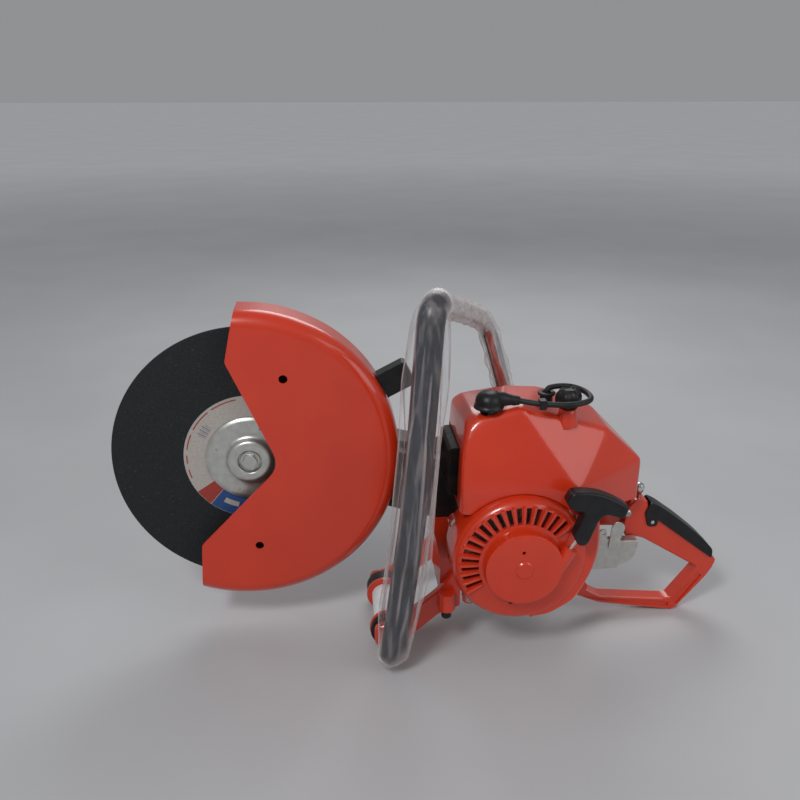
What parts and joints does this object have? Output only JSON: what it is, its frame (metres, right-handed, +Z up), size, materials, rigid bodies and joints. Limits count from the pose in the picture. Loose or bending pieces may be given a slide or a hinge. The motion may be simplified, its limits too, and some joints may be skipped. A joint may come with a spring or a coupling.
{
  "type": "hand-held petrol cut-off saw",
  "caption": "Petrol disc cutter: recoil-start engine under a folded hood, belt arm, turnable disc guard, wrap-round front handle with a guide roller and a loop rear handle.",
  "frame": {"origin": "middle of the bounding box in plan, on the floor plane it rests on", "axes": "+Z up, +X from the cutting disc towards the rear handle, -Y is the operator's left, the starter side; +Y is the belt side"},
  "size_m": [0.8064, 0.2533, 0.494],
  "materials": {
    "red_paint": "gloss orange-red enamel",
    "black_plastic": "satin",
    "black_rubber": "matt",
    "zinc_steel": "zinc plated",
    "cast_alloy": "as cast",
    "white_nylon": "satin",
    "abrasive": "gritty resin-bonded abrasive",
    "clear_film": "thin clear packing film",
    "dark_steel": "heat-dark",
    "ceramic_white": "glazed",
    "rope": "braided",
    "filter_foam": "open foam",
    "chrome_switch": "polished",
    "chrome_tube": "bright plated"
  },
  "bodies": {
    "machine": {"cutter_arm": "cast_alloy", "belt_cover": "black_plastic", "drive_belt": "black_rubber", "arbor_bearing_near": "zinc_steel", "arbor_bearing_far": "zinc_steel", "crankcase": "cast_alloy", "cylinder": "cast_alloy", "piston": "cast_alloy", "spark_plug": "ceramic_white", "spark_plug_boot": "black_rubber", "ignition_lead": "black_rubber", "lead_clip": "black_plastic", "lead_grommet": "black_rubber", "ignition_coil": "black_plastic", "engine_hood": "red_paint", "muffler": "dark_steel", "starter_housing": "red_paint", "recoil_spring": "zinc_steel", "fuel_tank": "black_plastic", "intake_manifold": "black_rubber", "air_filter": "filter_foam", "carburettor_body": "cast_alloy", "carburettor_plate": "zinc_steel", "rear_handle": "red_paint", "throttle_pin": "zinc_steel", "front_handle_tube": "chrome_tube", "handle_sleeve": "black_rubber", "handle_film_near": "clear_film", "handle_film_far": "clear_film", "handle_bracket": "cast_alloy", "front_bracket": "red_paint"},
    "blade": {"cutting_disc": "abrasive", "outer_flange": "zinc_steel", "inner_flange": "zinc_steel", "arbor_shaft": "zinc_steel", "arbor_bolt": "zinc_steel", "driven_pulley": "cast_alloy"},
    "drum": {"clutch_drum": "zinc_steel"},
    "crank": {"crankshaft": "zinc_steel", "clutch_hub": "zinc_steel", "clutch_shoe_1": "dark_steel", "clutch_shoe_2": "dark_steel", "clutch_shoe_3": "dark_steel", "flywheel_fan": "cast_alloy"},
    "guard": {"blade_guard": "red_paint", "guard_handle": "black_plastic"},
    "reel": {"recoil_pulley": "black_plastic"},
    "pull": {"pull_handle": "black_plastic", "starter_rope": "rope"},
    "knob": {"hood_knob": "black_plastic"},
    "cap": {"fuel_cap": "black_plastic"},
    "choke": {"choke_lever": "zinc_steel"},
    "throttle": {"throttle_lever": "black_plastic"},
    "switch": {"stop_switch": "chrome_switch"},
    "roller": {"roller_core": "white_nylon", "roller_flange_near": "red_paint", "roller_flange_far": "red_paint", "roller_ring_near": "black_rubber", "roller_ring_far": "black_rubber"}
  },
  "joints": [
    {"name": "blade_spin", "type": "hinge", "parent": "machine", "child": "blade", "pos_m": [-0.22819, 0.02865, 0.2465], "axis": [0, 1, 0], "continuous": true},
    {"name": "drum_spin", "type": "hinge", "parent": "machine", "child": "drum", "pos_m": [0.10281, 0.08865, 0.1525], "axis": [0, 1, 0], "continuous": true},
    {"name": "crank_spin", "type": "hinge", "parent": "machine", "child": "crank", "pos_m": [0.10281, -0.00135, 0.1525], "axis": [0, 1, 0], "continuous": true},
    {"name": "guard_turn", "type": "hinge", "parent": "machine", "child": "guard", "pos_m": [-0.22819, 0.02865, 0.2465], "axis": [0, 1, 0], "range_deg": [-40, 20]},
    {"name": "starter_pull", "type": "slide", "parent": "machine", "child": "pull", "axis": [0.5, 0, 0.866], "range_m": [0, 0.6], "stiffness_N_per_m": 20, "springref_m": -0.25},
    {"name": "reel_spin", "type": "hinge", "parent": "machine", "child": "reel", "pos_m": [0.10281, -0.11235, 0.1525], "axis": [0, 1, 0], "range_deg": [-910, 0]},
    {"name": "hood_knob_turn", "type": "hinge", "parent": "machine", "child": "knob", "pos_m": [0.16281, -0.04635, 0.3415], "axis": [0, 0, 1], "range_deg": [0, 720]},
    {"name": "fuel_cap_turn", "type": "hinge", "parent": "machine", "child": "cap", "pos_m": [0.16981, 0.04265, 0.0785], "axis": [1, 0, 0], "range_deg": [0, 540]},
    {"name": "choke_turn", "type": "hinge", "parent": "machine", "child": "choke", "pos_m": [0.24581, -0.01935, 0.1205], "axis": [0, 1, 0], "range_deg": [0, 35]},
    {"name": "throttle_press", "type": "hinge", "parent": "machine", "child": "throttle", "pos_m": [0.30481, 0.01165, 0.1435], "axis": [0, 1, 0], "range_deg": [0, 3.4], "stiffness_Nm_per_rad": 1.5, "springref_deg": -6.88},
    {"name": "stop_switch_press", "type": "slide", "parent": "machine", "child": "switch", "axis": [0, 0, -1], "range_m": [0, 0.003], "stiffness_N_per_m": 400, "springref_m": -0.001},
    {"name": "roller_spin", "type": "hinge", "parent": "machine", "child": "roller", "pos_m": [-0.05619, 0.00065, 0.0245], "axis": [0, 1, 0], "continuous": true}
  ],
  "couplings": [
    {"joint": "drum_spin", "follows": "blade_spin", "ratio": 2},
    {"joint": "reel_spin", "follows": "starter_pull", "rad_per_m": -26.316}
  ]
}
